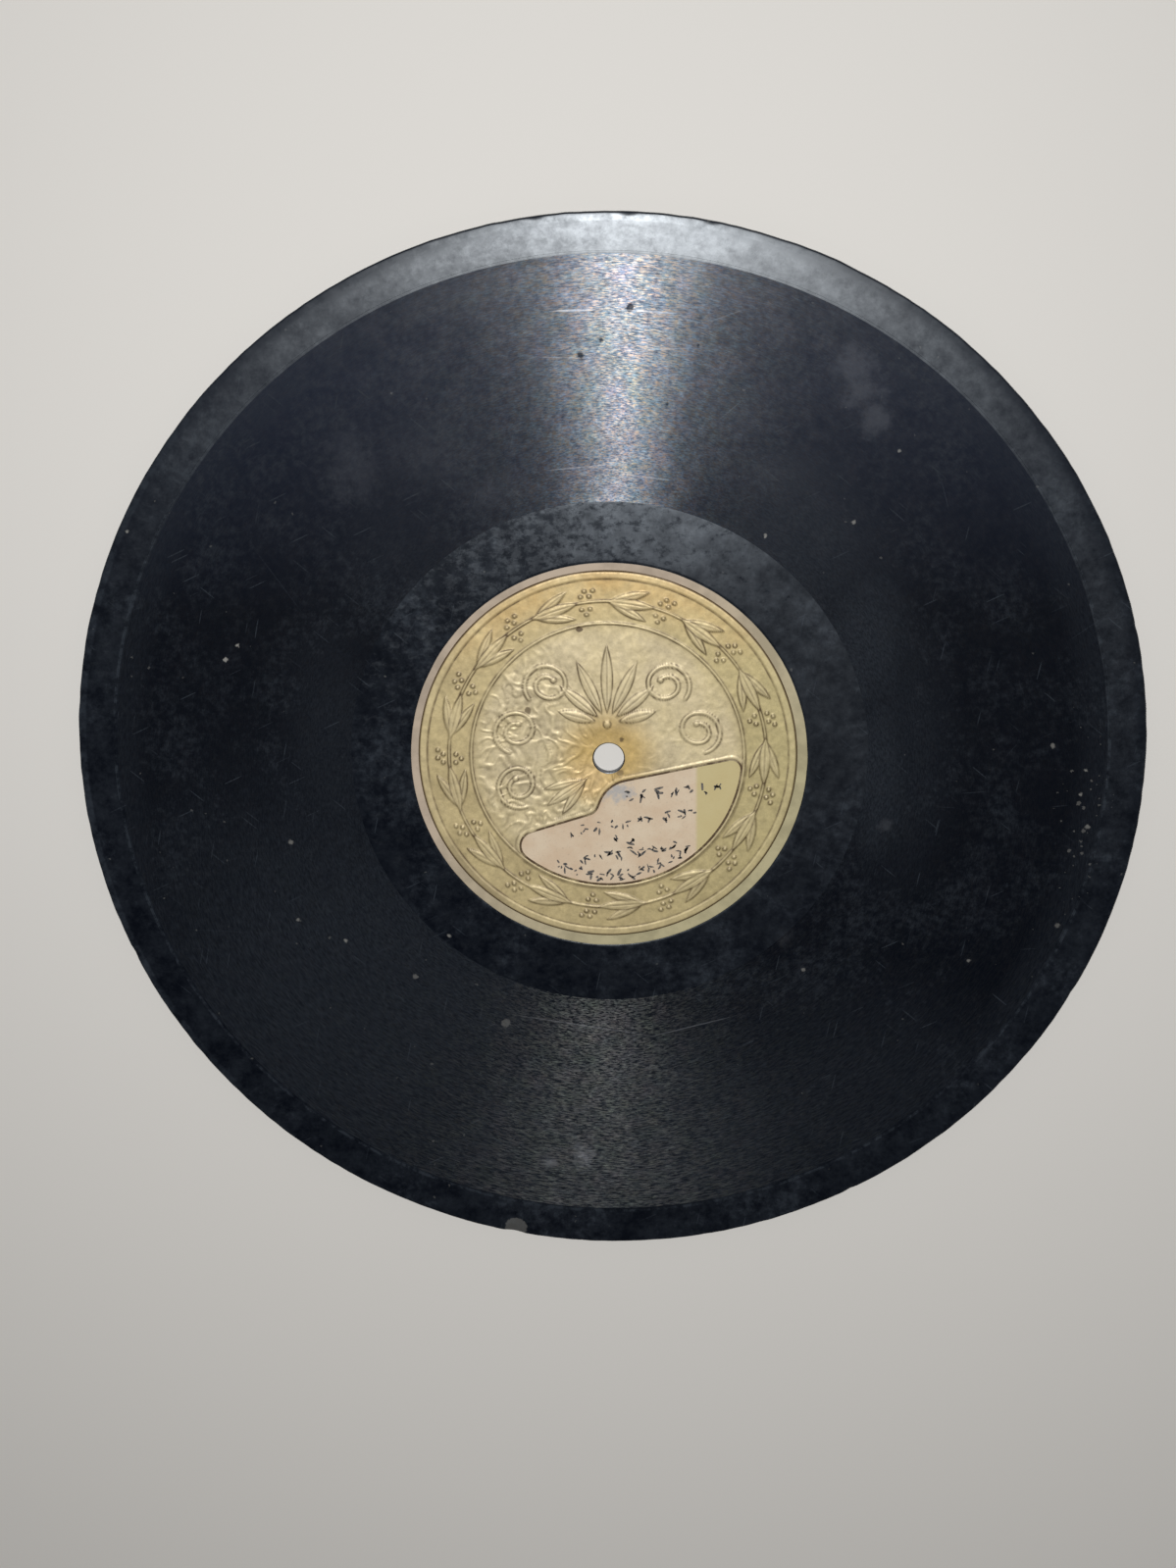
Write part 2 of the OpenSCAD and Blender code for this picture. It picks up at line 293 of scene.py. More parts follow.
# Pressed shellac is a hard resin, blue-black from lamp black, with a satin gloss that handling has dulled.
# It shows cloudy scuffs, hairlines, dust and, in the playing surface, the pull of the groove on the light.
stock_colour = linear("#060911")
worn_colour = linear("#2b3037")
# Painted bluish sheen of the far turns, standing in for the lamp's broad reflection
painted_sheen_colour = linear("#1b2130")
dust_colour = linear("#aaa8a2")
# Pale scuffs, and the painted glints of the scratches across the streak
scuff_and_glint_colour = linear("#c9cdd6")
cool_glint = linear("#bad1ec")
warm_glint = linear("#ffe2be")
margin_glint = linear("#eef2f4")
dusty_glint = linear("#eff1ec")
# Sizes of the patterns, in millimetres
cloud_mm, scuff_mm, chalk_mm, blotch_mm, rub_mm = 22, 1.8, 5, 2.2, 3.5
fray_mm, dust_mm, grit_mm, tinge_mm = 0.7, 4, 1.7, 5
hairline_l, hairline_w = 14, 0.8
hairline_headings = (25, -40, 78)
# A glinting dash of a turn half way in, in the clean upper turns and in the dusty lower ones, where it is
# drawn a little wider than one turn, so that it shows
mid_turn_r = 90
dash_l, dash_w = 1.2, groove_pitch
dusty_dash_l, dusty_dash_w = 1.7, 0.3
# Place, half width, half height and strength of the wide bands where needles have dulled the grooves
needle_wear = [(-62, -62, 80, 80, 0.45), (0, -98, 85, 48, 0.5), (58, -90, 60, 45, 0.3), (-66, 0, 16, 45, 0.3),
               (68, 0, 18, 45, 0.3), (44, 50, 26, 26, 0.4), (-48, 46, 20, 20, 0.2), (60, 28, 15, 26, 0.5),
               (64, -4, 10, 32, 0.5)]
# Place, half length, half width, heading in degrees and strength of the scratches: the longer ones first,
# then small ones anywhere
scratches = [(-91, -44.1, 17, 0.22, -2.8, 0.5), (112.5, 32, 7, 0.2, 36, 0.5), (87, -8.5, 4, 0.15, 4, 0.5),
             (-50, 33, 3.5, 0.2, -30, 0.8), (-46, 32, 2.5, 0.2, 60, 0.7), (-77, 43, 12, 0.15, -55, 0.35)]
small_scratches = 22
draws = random.Random(5)
for _ in range(small_scratches):
    turn, reach = draws.uniform(0, math.tau), draws.uniform(52, 116)
    half_l, half_w = draws.uniform(1.2, 5), draws.uniform(0.1, 0.17)
    heading, strength = draws.uniform(-80, 80), draws.uniform(0.25, 0.6)
    scratches.append((reach * math.cos(turn), reach * math.sin(turn), half_l, half_w, heading, strength))
# Deep scratches across the streak, painted pale as painted glints of the lamp, in the same terms
glinting_scratches = [(-7, 105.1, 6, 0.28, 1.5, 0.6), (10, 104.7, 7, 0.28, -4, 0.5), (27.5, 103.7, 4.5, 0.2, 19, 0.08),
           (28.5, 82.5, 4, 0.18, 40, 0.06), (-6, 69.5, 9, 0.2, 5, 0.2), (9, 67.2, 7, 0.2, -8, 0.2),
           (-9, 94.5, 8, 0.2, -2, 0.15), (13, 96.3, 8, 0.2, 1, 0.2), (-7, -68.3, 20, 0.2, -9, 0.08),
           (20, -68.5, 12, 0.2, 15, 0.08)]
# Place, half width, half height and strength of the pale scuffs that stand out
scuffs = [(-58.7, 69.5, 9, 10, 0.022), (56.5, 92, 5, 6, 0.05), (58, 87, 6, 7, 0.05), (61, 81, 4.5, 5, 0.05),
          (-7.3, -103, 4, 4, 0.16), (42.4, -45.4, 3, 3, 0.02), (66, -17, 2, 2, 0.03),
          (-15.5, -105, 2.5, 2, 0.1), (-40, 72, 16, 9, 0.014), (-26, 64, 12, 6, 0.018),
          (30, 82, 12, 8, 0.014), (38, 68, 12, 7, 0.012), (-28, 108, 14, 6, 0.014), (24, 108, 10, 5, 0.014)]
# Place, size and strength of the larger specks of dust, and last of the broken shellac in the large chip
specks = [(-90.5, 24.2, 0.5, 0.6), (-87.5, 27.7, 0.3, 0.6), (-112, 55, 0.3, 0.5), (-76, -41, 0.4, 0.3),
          (-64.7, -46.3, 0.4, 0.4), (-77, -21, 0.5, 0.3), (-47.9, -55.7, 0.6, 0.2), (-25.9, -67.8, 1.0, 0.15),
          (-39.3, -44.9, 0.4, 0.4), (105, 3, 0.5, 0.3), (108, -42, 0.5, 0.2), (67, 73, 0.3, 0.4),
          (57, 56.5, 0.4, 0.4), (36.6, 53.4, 0.3, 0.5), (87, -51, 0.4, 0.3), (47, -53.6, 0.4, 0.3),
          (114, -17, 0.5, 0.3), (112, -9, 0.3, 0.4), (113, -3, 0.3, 0.4), (-24.4, -123.2, 2.7, 0.17)]
# Place, half width and half height of the patch of grit by the step of the margin
grit_patch = (112, -12, 8, 28)
# Place and size of the dull pits in the streak
pits = [(5.6, 105.6, 0.9), (-5.7, 95, 0.8), (-1, 98.4, 0.5), (21, 97, 0.3), (14, 84, 0.35)]


def whereabouts(add, middle_x=0, middle_y=0):
    """A point's place in millimetres, its place on the face from a middle, that place's parts and radius."""
    at = add("TexCoord")
    place = add("VectorMath", (at.outputs["Object"], 1 / mm), operation="SCALE")
    off = add("VectorMath", (place, (middle_x, middle_y, 0)), operation="SUBTRACT")
    flat = add("VectorMath", (off, (1, 1, 0)), operation="MULTIPLY")
    parts = add("SeparateXYZ", [flat])
    radius = add("VectorMath", [flat], operation="LENGTH")
    return place, flat, parts, radius


def from_oval(add, flat, x, y, half_w, half_h, heading=0):
    """How far a point lies from the middle of an oval, whose edge is at 1."""
    turned = add("Mapping", (flat, (x, y, 0), (0, 0, math.radians(heading)), (half_w, half_h, 1)),
                 vector_type="TEXTURE")
    return add("VectorMath", [turned], operation="LENGTH")


def scored(add, flat, mask, strokes):
    """A mask with straight scratches drawn on it."""
    for x, y, half_l, half_w, heading, strength in strokes:
        off = from_oval(add, flat, x, y, half_l, half_w, heading)
        near = add("MapRange", (off, 1, 0.6, 0, strength))
        mask = add("Math", (mask, near), operation="MAXIMUM")
    return mask


def layered(add, colour, covers):
    """A colour with others laid over it in turn, each as thick as its mask says."""
    for cover, cover_colour in covers:
        colour = add("Mix", (cover, colour, cover_colour), data_type="RGBA")
    return colour


def shellac(name, grooved):
    """Pressed shellac stock, plain or with the groove's turned grain."""
    material, shader, add = new_material(name)
    place, flat, parts, radius = whereabouts(add)

    # Clouds of handling, broken up by scuffs. The first turns are worn by the needle being set down.
    cloud = add("TexNoise", (place, 1 / cloud_mm, 5, 0.6))
    scuff = add("TexNoise", (place, 1 / scuff_mm, 6, 0.7))
    both = add("Math", (cloud, scuff), operation="MULTIPLY")
    least, most = (0.04, 0.48) if grooved else (0.16, 0.65)
    worn = add("MapRange", (both, 0.2, 0.42, least, most), interpolation_type="SMOOTHSTEP")
    first = add("MapRange", (radius, 107, 116.5, 0, 0.24), interpolation_type="SMOOTHSTEP")
    worn = add("Math", (worn, first), operation="MAXIMUM")
    worn = scored(add, flat, worn, scratches)
    # Hairlines all over: a few of the cells of a stretched pattern, narrowed to their middles
    for heading in hairline_headings:
        lean = add("Mapping", {"Vector": flat, "Rotation": (0, 0, math.radians(heading)),
                               "Scale": (hairline_l, hairline_w, 1)}, vector_type="TEXTURE")
        cell = add("TexVoronoi", (lean, 1))
        chance = add("SeparateColor", [cell.outputs["Color"]])
        few = add("MapRange", (chance.outputs["Red"], 0.85, 1, 0, 1))
        near = add("Math", (cell.outputs["Distance"], 0.17), operation="LESS_THAN")
        near = add("Math", (near, few), operation="MULTIPLY")
        worn = add("Math", (worn, near), operation="MAXIMUM")

    # Dust: fine grains everywhere, grit by the margin, and the larger specks, none of them quite round
    fray = add("TexNoise", (place, 1 / fray_mm, 2))
    fray_mean = 0.5
    frayed = add("VectorMath", (fray.outputs["Color"], flat), operation="ADD")
    cell = add("TexVoronoi", (frayed, 1 / dust_mm))
    size = add("SeparateColor", [cell.outputs["Color"]])
    grain = add("MapRange", (size.outputs["Red"], 0.4, 1, 0, 0.085))
    dust = add("Math", (cell.outputs["Distance"], grain), operation="LESS_THAN")
    fade = add("MapRange", (size.outputs["Blue"], 0, 1, 0.05, 0.5))
    dust = add("Math", (dust, fade), operation="MULTIPLY")
    gritty = add("MapRange", (from_oval(add, flat, *grit_patch), 1.2, 0.2, 0, 0.36))
    cell = add("TexVoronoi", (frayed, 1 / grit_mm))
    size = add("SeparateColor", [cell.outputs["Color"]])
    gritty = add("Math", (gritty, size.outputs["Red"]), operation="MULTIPLY")
    gritty = add("Math", (cell.outputs["Distance"], gritty), operation="LESS_THAN")
    gritty = add("Math", (gritty, 0.16), operation="MULTIPLY")
    dust = add("Math", (dust, gritty), operation="MAXIMUM")
    for x, y, half, strength in specks:
        middle = (x + fray_mean, y + fray_mean, fray_mean)
        off = add("VectorMath", (frayed, middle), operation="DISTANCE")
        near = add("MapRange", (off, half + 0.2, half - 0.1, 0, strength))
        dust = add("Math", (dust, near), operation="MAXIMUM")

    # Pale scuffs with ragged edges, and the scratches across the streak, painted pale as painted glints
    chalk = add("TexNoise", (place, 1 / chalk_mm, 7, 0.75))
    scuffs_and_glints = 0
    for x, y, half_w, half_h, strength in scuffs:
        off = from_oval(add, flat, x, y, half_w, half_h)
        ragged = add("Math", (chalk, 3.5, off), operation="MULTIPLY_ADD")
        near = add("MapRange", (ragged, 2.75, 2, 0, strength))
        scuffs_and_glints = add("Math", (scuffs_and_glints, near), operation="MAXIMUM")
    scuffs_and_glints = scored(add, flat, scuffs_and_glints, glinting_scratches)

    worn_thin = add("MapRange", (chalk, 0.36, 0.62, 0.75, 1.2))
    if grooved:
        # Bands where the gloss is gone, ragged at the edge
        for x, y, half_w, half_h, strength in needle_wear:
            off = from_oval(add, flat, x, y, half_w, half_h)
            ragged = add("Math", (off, scuff), operation="ADD")
            near = add("MapRange", (ragged, 1.6, 0.7, 0, strength), interpolation_type="SMOOTHSTEP")
            worn = add("Math", (worn, near), operation="MAXIMUM")
        gloss = add("MapRange", (scuff, 0.36, 0.6, 0.74, 1.08))
        gloss = add("Math", (gloss, worn_thin), operation="MULTIPLY")
        for x, y, half in pits:
            middle = (x + fray_mean, y + fray_mean, fray_mean)
            off = add("VectorMath", (frayed, middle), operation="DISTANCE")
            near = add("MapRange", (off, half - 0.2, half + 0.2, 0.15, 1))
            gloss = add("Math", (gloss, near), operation="MULTIPLY")

        # The turns glint in short dashes along the groove. Dust greys the lower ones: each pair of values is
        # for clean turns and for dusty ones.
        dusty = add("MapRange", (parts.outputs["Y"], 30, -50, 0, 1))
        per_turn, per_mm, roughest, glint_from, faint, bright, sparkle = [
            add("MapRange", (dusty, 0, 1, clean, dulled)) for clean, dulled in (
                (mid_turn_r / dash_l, mid_turn_r / dusty_dash_l), (1 / dash_w, 1 / dusty_dash_w),
                (0.34, 0.27), (0.38, 0.5), (0.21, 0), (0.74, 1.1), (0.53, 1))]
        along = add("VectorMath", [flat], operation="NORMALIZE")
        along = add("VectorMath", (along, per_turn), operation="SCALE")
        across = add("Math", (radius, per_mm), operation="MULTIPLY")
        across = add("CombineXYZ", {"Z": across})
        turned = add("VectorMath", (along, across), operation="ADD")
        dash = add("TexNoise", (turned, 1, 3, 0.65))
        hues = add("SeparateColor", [dash.outputs["Color"]])
        smooth = add("MapRange", (dash, 0.45, 0.67, 0, 1))
        rough = add("MapRange", (smooth, 0, 1, roughest, 0.24))
        # The smoother dashes are less blue, and all have a trace of the rainbow
        hue = layered(add, cool_glint, [(smooth, warm_glint), (dusty, dusty_glint)])
        tinge = add("TexNoise", (flat, 1 / tinge_mm, 3))
        for cast, spread in ((dash, 0.24), (tinge, 0.3)):
            cast = add("VectorMath", (cast.outputs["Color"], [spread] * 3, [1 - spread / 2] * 3),
                       operation="MULTIPLY_ADD")
            hue = add("VectorMath", (hue, cast), operation="MULTIPLY")
        glint = add("MapRange", (hues.outputs["Green"], glint_from, 0.66, faint, bright))
        glint = add("Mix", (smooth, glint, sparkle))
        glint = add("Math", (glint, gloss), operation="MULTIPLY")
        tint = add("VectorMath", (hue, glint), operation="SCALE")
        coat = add("Math", (gloss, 0.16), operation="MULTIPLY")
        grit = add("MapRange", (hues.outputs["Blue"], 0.35, 0.65, 0.45, 1.55))
        around = add("Tangent", direction_type="RADIAL", axis="Z")
        plug(shader, {"Tangent": around, "Anisotropic": 0.93, "Anisotropic Rotation": 0.25, "IOR": 1.9,
                      "Coat Weight": coat, "Coat Roughness": 0.33})
    else:
        # A pale line where the margin steps down, and a pale strip along the rim on the left, a painted
        # highlight
        step_off = add("Math", (radius, margin_r, 0.3), operation="COMPARE")
        step_line = add("MapRange", (scuff, 0.38, 0.6, 0, 1))
        step_line = add("Math", (step_line, step_off), operation="MULTIPLY")
        rim_highlight_strip = add("MapRange", (radius, 124.6, 125.4, 0, 0.6))
        leftmost = add("MapRange", (parts.outputs["X"], -60, -110, 0, 1))
        rim_highlight_strip = add("Math", (rim_highlight_strip, leftmost), operation="MULTIPLY")
        # The painted rim highlight goes in with the wear
        for near in (step_line, rim_highlight_strip):
            worn = add("Math", (worn, near), operation="MAXIMUM")
        # Blotches where grime has taken the gloss, most of them left of the label, fewest on the upper margin
        stretch = add("Mapping", {"Vector": place, "Scale": (0.75, 1, 1)})
        blotch = add("TexNoise", (stretch, 1 / blotch_mm, 8, 0.72))
        side = add("MapRange", (parts.outputs["X"], -60, 40, -0.14, 0.1))
        blotch = add("Math", (blotch, side), operation="ADD")
        least = add("MapRange", (parts.outputs["Y"], 30, 85, 0.35, 0.8))
        inner = add("MapRange", (radius, 70, 116, 0.6, 1))
        least = add("Math", (least, inner), operation="MULTIPLY")
        gloss = add("MapRange", (blotch, 0.40, 0.52, least, 1))
        # Duller below and at the upper right, rubbed brighter above the label, dirty along the rim's edge
        grimy = add("MapRange", (parts.outputs["Y"], -45, 30, 0.5, 1))
        off = add("VectorMath", (flat, (46, 40, 0)), operation="DISTANCE")
        rubbed = add("MapRange", (off, 30, 10, 1, 0.75))
        off = add("VectorMath", (flat, (8, 60, 0)), operation="DISTANCE")
        bright = add("MapRange", (off, 36, 6, 1, 1.7))
        edge = add("MapRange", (radius, 123.2, 125.4, 0, 1))
        caked = add("MapRange", (chalk, 0.38, 0.62, 0.12, 0.6))
        caked = add("Math", (edge, caked), operation="MULTIPLY")
        clear = add("Math", (1, caked), operation="SUBTRACT")
        for share in (grimy, worn_thin, rubbed, bright, clear):
            gloss = add("Math", (gloss, share), operation="MULTIPLY")
        rub = add("TexNoise", (place, 1 / rub_mm, 6, 0.68))
        rough = add("MapRange", (rub, 0.35, 0.68, 0.27, 0.34))
        warmth = add("MapRange", (parts.outputs["Y"], 60, 115, 0.65, 0.85))
        shine = layered(add, cool_glint, [(warmth, margin_glint)])
        tint = add("VectorMath", (shine, gloss), operation="SCALE")
        grit = add("MapRange", (chalk, 0.38, 0.64, 0.25, 1.9))
        plug(shader, {"IOR": 1.65})

    # A painted bluish sheen over the turns farthest from the reader, for the lamp's broad reflection there;
    # then the worn film (with the painted rim highlight), the pale scuffs and painted glints, and the dust
    painted_sheen = add("MapRange", (parts.outputs["Y"], 35, 90, 0, 0.8 if grooved else 0.3))
    film = add("Math", (worn, grit), operation="MULTIPLY", use_clamp=True)
    colour = layered(add, stock_colour, [(painted_sheen, painted_sheen_colour), (film, worn_colour), (scuffs_and_glints, scuff_and_glint_colour),
                                         (dust, dust_colour)])
    plug(shader, {"Base Color": colour, "Roughness": rough, "Specular Tint": tint})
    return material


record_disc.data.materials.append(shellac("pressed shellac", False))
record_disc.data.materials.append(shellac("grooved shellac", True))
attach(record_disc, "root")
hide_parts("record_disc")

# The label is a round of cream paper, laid in the press with the stock, so that it sits flush with the disc.
# Its edge shows as a ring outside the foil, and its middle through the foil's title window.
paper_top = paper_high.z / mm
paper_foot = paper_low.z / mm
paper_edge_w, paper_edge_drop = 0.12, 0.05
label_hole_r = hole_r + 0.25
paper_steps = 240
paper_rings = 60
# Height of the paper's waves and fibres, and how much its edge strays, each with its length
paper_wave, paper_wave_l = 0.012, 6
paper_fibre, paper_fibre_l = 0.006, 0.9
edge_stray, edge_stray_l = 0.0015, 4

ring_w = (label_r - label_hole_r) / paper_rings
profile = [(label_hole_r + ring_w * k, paper_top) for k in range(paper_rings)]
profile += [(label_r - paper_edge_w, paper_top), (label_r, paper_top - paper_edge_drop)]
profile += [(label_r, paper_foot), (label_hole_r, paper_foot)]
bm = lathe(profile, paper_steps, use_merge=True)[0]
bmesh.ops.remove_doubles(bm, verts=bm.verts, dist=weld)
for v in bm.verts:
    if v.co.z > paper_top - 0.01:
        v.co.z -= (paper_wave * (1 + noise.noise(v.co / paper_wave_l))
                   + paper_fibre * (1 + noise.noise(v.co / paper_fibre_l)))
    elif v.co.xy.length > label_r - 0.01:
        v.co.xy *= 1 + edge_stray * noise.noise(v.co / edge_stray_l)
bmesh.ops.recalc_face_normals(bm, faces=bm.faces)
for f in bm.faces:
    f.smooth = abs(f.normal.z) > 0.5
bmesh.ops.scale(bm, verts=bm.verts, vec=(mm, mm, mm))
label_paper = to_object(bm, "label_paper_round")

# Uncoated rag paper, soft and a little pink with age. It is matt, flecked, and grey where fingers and
# the spindle have rubbed it.
cream = linear("#ccb499")
faded_cream = linear("#d6c4ab")
soil = linear("#857b70")
straw_stain = linear("#c0b37c")
handled_pink = linear("#b3a391")
handled_green = linear("#aea583")
bruise_grey = linear("#a3a5a8")
stain_mm, fibre_mm, bruise_mm = 7, 0.5, 1.6

material, shader, add = new_material("uncoated rag paper")
place, flat, parts, radius = whereabouts(add)
stain = add("TexNoise", (place, 1 / stain_mm, 5, 0.6))
fibre = add("TexNoise", (place, 1 / fibre_mm, 4, 0.7))
shade = add("MapRange", (stain, 0.35, 0.65, 0, 1))
fleck = add("MapRange", (fibre, 0.58, 0.75, 0, 0.45))
# A straw-coloured stain at the right of the title, and a handled ring outside the foil, greener below
stained = add("MapRange", (parts.outputs["X"], 20.5, 21.3, 0, 0.75))
ringed = add("MapRange", (radius, 42, 44, 0, 1))
lower = add("Math", (parts.outputs["X"], parts.outputs["Y"]), operation="SUBTRACT")
lower = add("MapRange", (lower, -30, 50, 0, 1))
handled = layered(add, handled_pink, [(lower, handled_green)])
worn = add("MapRange", (stain, 0.4, 0.6, 0.85, 1.1))
handled = add("VectorMath", (handled, worn), operation="SCALE")
# A grey bruise under the spindle hole, where the spindle has missed its mark
bruise = from_oval(add, flat, 2.5, -8.5, 5, 3)
rubs = add("TexNoise", (place, 1 / bruise_mm, 5, 0.7))
bruise = add("Math", (rubs, 3, bruise), operation="MULTIPLY_ADD")
bruise = add("MapRange", (bruise, 2.4, 1.7, 0, 0.75))
colour = layered(add, cream, [(shade, faded_cream), (fleck, soil), (stained, straw_stain), (ringed, handled),
                              (bruise, bruise_grey)])
bump = add("Bump", {"Strength": 0.25, "Distance": 0.02 * mm, "Height": fibre})
plug(shader, {"Base Color": colour, "Roughness": 0.85, "Specular IOR Level": 0.3, "Normal": bump})
label_paper.data.materials.append(material)
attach(label_paper, "root")
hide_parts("label_paper")

# The facing is thin gilt foil, struck in a die: a raised border, a laurel garland with berries, a beaded
# field with a leaf fan and volutes, and a cut window with a turned lip. Its die sat a little off centre.
foil_low, foil_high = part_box("gold_foil")
die_x = (foil_low.x + foil_high.x) / 2 / mm
die_y = (foil_low.y + foil_high.y) / 2 / mm
foil_r = (foil_high.x - foil_low.x) / 2 / mm
foil_foot = foil_low.z / mm
foil_t = 0.08
foil_top = foil_foot + foil_t
border_w = 2.0
band_w = 10.6
band_r = foil_r - border_w
field_r = band_r - band_w
stem_r = (band_r + field_r) / 2
foil_steps = 760
foil_weld = 0.0005

# Rings of the sheet, closest together in the garland, where the relief is finest
near_hole_r = 8
garland_from, garland_to = field_r - 0.6, band_r + 0.3
foil_rings = np.concatenate([
    np.linspace(label_hole_r, near_hole_r, 10, endpoint=False),
    np.linspace(near_hole_r, garland_from, 58, endpoint=False),
    np.linspace(garland_from, garland_to, 50, endpoint=False),
    np.linspace(garland_to, foil_r, 8)])
profile = [(r, foil_top) for r in foil_rings] + [(foil_r, foil_foot), (label_hole_r, foil_foot)]
bm = lathe(profile, foil_steps, use_merge=True)[0]
bmesh.ops.remove_doubles(bm, verts=bm.verts, dist=foil_weld)
# The sheet is centred on the die, but its hole is centred on the spindle
pull_r = 14
for v in bm.verts:
    pull = max(0, min(1, (pull_r - v.co.xy.length) / (pull_r - label_hole_r)))
    v.co.x += die_x * (1 - pull)
    v.co.y += die_y * (1 - pull)
bmesh.ops.recalc_face_normals(bm, faces=bm.faces)
gold_foil = to_object(bm, "gold_foil_facing")

# The title window is a chain of tangent arcs round the die's centre: centre, radius, which is negative
# where the arc bends inwards
window_r = field_r - 0.7
corner_r, corner_at = 2.2, math.radians(-6)
bend_r, bend_x, bend_y = 8.0, 5.8, -14.0
lobe_r, lobe_at = 3.6, math.radians(166)
tip_r, tip_at = 3.5, math.radians(232)
lobe_reach = bend_r + lobe_r + 0.1
arc_step = 0.5
window_arcs = [
    (0, 0, window_r),
    ((window_r - corner_r) * math.cos(corner_at), (window_r - corner_r) * math.sin(corner_at), corner_r),
    (bend_x, bend_y, bend_r),
    (bend_x + lobe_reach * math.cos(lobe_at), bend_y + lobe_reach * math.sin(lobe_at), -lobe_r),
    ((window_r - tip_r) * math.cos(tip_at), (window_r - tip_r) * math.sin(tip_at), tip_r)]


def tangent(a, b):
    """Direction of the common tangent from one arc to the next."""
    lean = (a[2] - b[2]) / math.hypot(b[0] - a[0], b[1] - a[1])
    return math.atan2(b[1] - a[1], b[0] - a[0]) + math.asin(max(-1, min(1, lean)))


window = []
for i, arc in enumerate(window_arcs):
    start = tangent(window_arcs[i - 1], arc)
    sweep = (tangent(arc, window_arcs[(i + 1) % len(window_arcs)]) - start) % math.tau
    sweep = sweep if arc[2] > 0 else sweep - math.tau
    steps = max(6, int(abs(sweep * arc[2]) / arc_step))
    for k in range(steps + 1):
        way = start + sweep * k / steps
        window.append((arc[0] + arc[2] * math.sin(way), arc[1] - arc[2] * math.cos(way)))
window = np.array(window)

bm = bmesh.new()
cut = bm.faces.new([bm.verts.new((x + die_x, y + die_y, foil_foot - 1)) for x, y in window])
lifted = bmesh.ops.extrude_face_region(bm, geom=[cut])
bmesh.ops.translate(bm, vec=(0, 0, 2), verts=[v for v in lifted["geom"] if isinstance(v, bmesh.types.BMVert)])
bmesh.ops.remove_doubles(bm, verts=bm.verts, dist=foil_weld)
bmesh.ops.recalc_face_normals(bm, faces=bm.faces)
cutter = to_object(bm, "window_cutter")
cutting = gold_foil.modifiers.new("title window", "BOOLEAN")
cutting.operation = "DIFFERENCE"
cutting.solver = "EXACT"
cutting.object = cutter
mesh = bpy.data.meshes.new_from_object(gold_foil.evaluated_get(bpy.context.evaluated_depsgraph_get()))
gold_foil.modifiers.clear()
spare_meshes = (gold_foil.data, cutter.data)
gold_foil.data = mesh
bpy.data.objects.remove(cutter)
for spare in spare_meshes:
    bpy.data.meshes.remove(spare)
mesh.name = "gold_foil_facing"

spots = np.empty(len(mesh.vertices) * 3, np.float32)
mesh.vertices.foreach_get("co", spots)
spots = spots.reshape(-1, 3).astype(float)
x, y = spots[:, 0] - die_x, spots[:, 1] - die_y
r = np.hypot(x, y)
relief = np.zeros(len(x))
crease = np.zeros(len(x))
crease_w, crease_out, crease_cover = 0.18, 0.05, 0.2
# Height of a leaf at its edge, of its dome above that, depth and width of its midrib, and fall of its side
blade_edge, blade_dome, rib_depth, rib_w, blade_fall = 0.1, 0.15, 0.1, 0.16, 0.12
far_off = 9


def strike(depth, rise):
    """Adds a raised form to the foil: depth is how far a point lies inside its edge, in millimetres."""
    relief[:] = np.maximum(relief, rise)
    # The crease at the form's foot is dirt and painted shade
    foot = np.exp(-((depth + crease_out) / crease_w) ** 2)
    crease[:] = np.maximum(crease * np.clip(1 - depth / crease_cover, 0, 1), foot)


def leaf(root_x, root_y, heading, length, width):
    """A lance-shaped leaf with a domed blade and a sunk midrib."""
    s = (x - root_x) * math.cos(heading) + (y - root_y) * math.sin(heading)
    t = (y - root_y) * math.cos(heading) - (x - root_x) * math.sin(heading)
    side_r = (length ** 2 + width ** 2) / (4 * width)
    half = np.sqrt(np.maximum(side_r ** 2 - (s - length / 2) ** 2, 0)) - side_r + width / 2
    depth = np.where((s > -0.5) & (s < length + 0.5), half - np.abs(t), -far_off)
    dome = 1 - np.clip(np.abs(t) / np.maximum(half, 0.05), 0, 1) ** 2
    rib = np.exp(-(t / rib_w) ** 2) * np.clip(np.minimum(s, length - s) / 2, 0, 1)
    blade = blade_edge + blade_dome * dome - rib_depth * rib
    strike(depth, np.where(depth > 0, blade, blade_edge * np.clip(1 + depth / blade_fall, 0, 1)))
    # The sunk midrib is darkened: dirt and painted shade
    crease[:] = np.maximum(crease, np.where(depth > 0.2, 0.6 * rib, 0))


def ridge(distance, width, rise):
    """A round ridge along a line, from the distance to that line."""
    depth = width / 2 - np.abs(distance)
    strike(depth, rise * np.sqrt(np.clip(1 - (distance / (width / 2)) ** 2, 0, 1)))


def boss(at_x, at_y, width, rise=0.3):
    """A round berry or boss."""
    ridge(np.hypot(x - at_x, y - at_y), width, rise)


